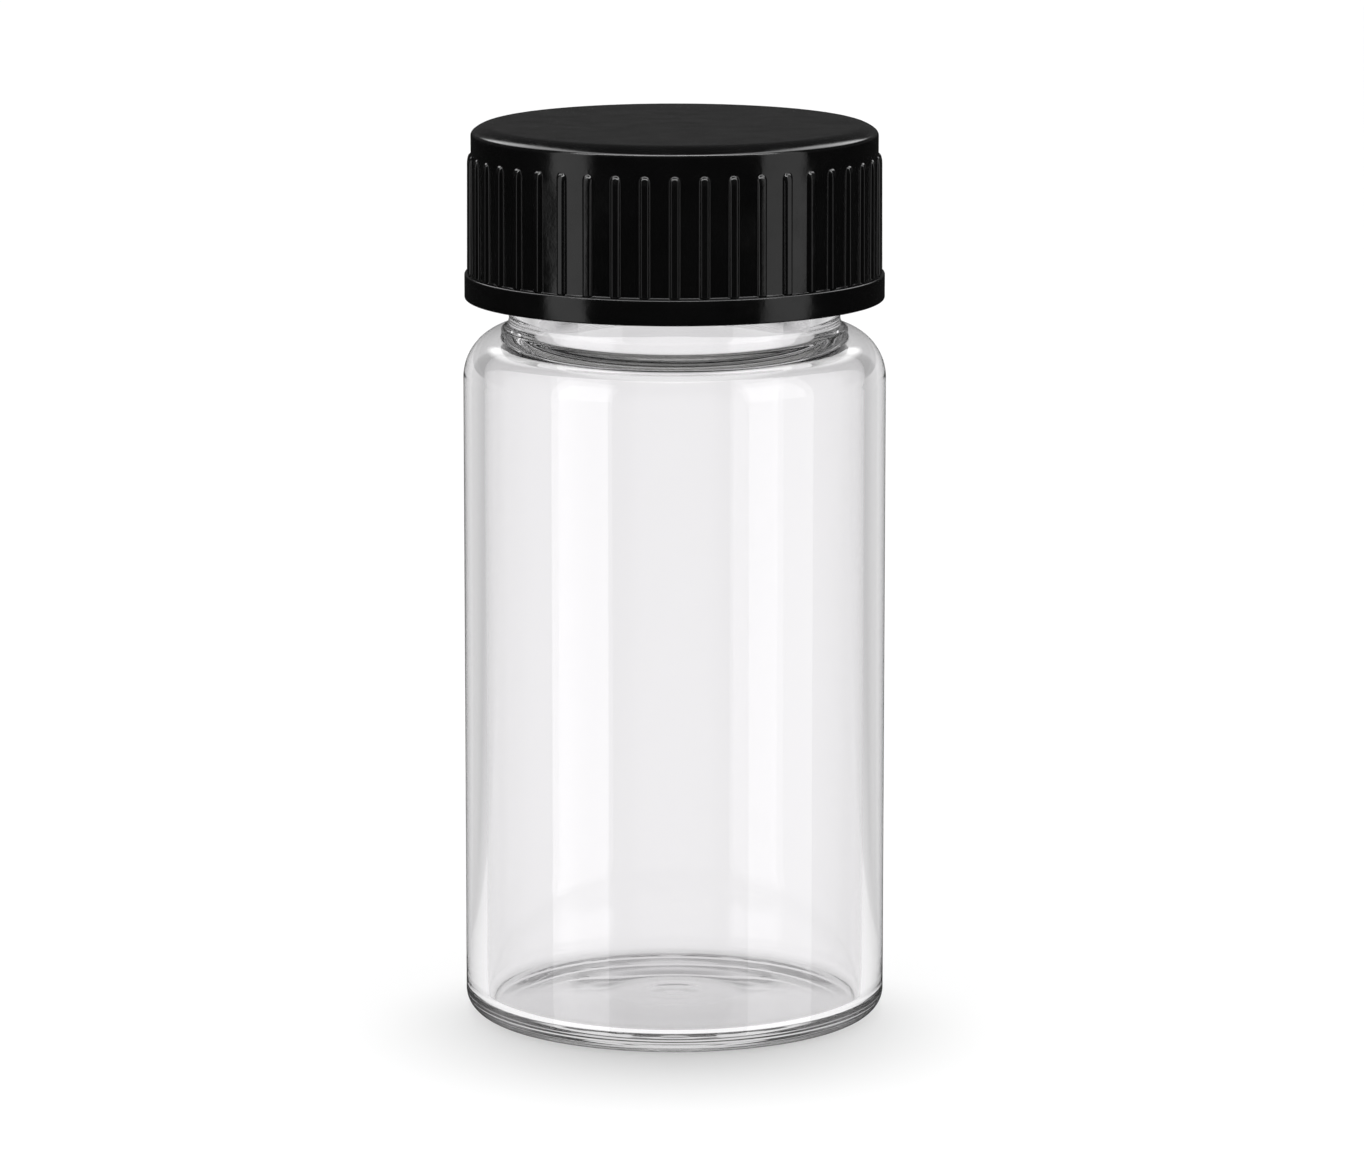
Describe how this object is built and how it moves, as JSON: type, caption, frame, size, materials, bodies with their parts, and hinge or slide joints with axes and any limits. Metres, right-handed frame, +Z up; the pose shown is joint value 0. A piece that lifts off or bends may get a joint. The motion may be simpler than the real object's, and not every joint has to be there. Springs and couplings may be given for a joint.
{
  "type": "screw cap specimen vial",
  "caption": "Round clear glass specimen vial with a short threaded neck, closed by a ribbed black screw cap with a soft sealing liner.",
  "frame": {"origin": "centre of the vial's foot, on the surface that it stands on", "axes": "+Z up along the vial's axis, from the foot to the cap"},
  "size_m": [0.028, 0.028, 0.0597],
  "materials": {
    "clear_glass": "clear polished",
    "black_plastic": "moulded semi-gloss",
    "white_film": "smooth film",
    "white_foam": "closed-cell foam"
  },
  "bodies": {
    "vial": {"glass_vial": "clear_glass"},
    "liner": {"liner_face_film": "white_film", "liner_foam_core": "white_foam", "liner_back_film": "white_film"},
    "cap": {"screw_cap": "black_plastic"}
  },
  "joints": [
    {"name": "cap_lift", "type": "slide", "parent": "vial", "child": "liner", "axis": [0, 0, 1], "range_m": [0, 0.0127]},
    {"name": "cap_spin", "type": "hinge", "parent": "liner", "child": "cap", "pos_m": [0, 0, 0.054], "axis": [0, 0, 1], "range_deg": [0, 1440]}
  ],
  "couplings": [
    {"joint": "cap_lift", "follows": "cap_spin", "m_per_rad": 0.00050532}
  ]
}
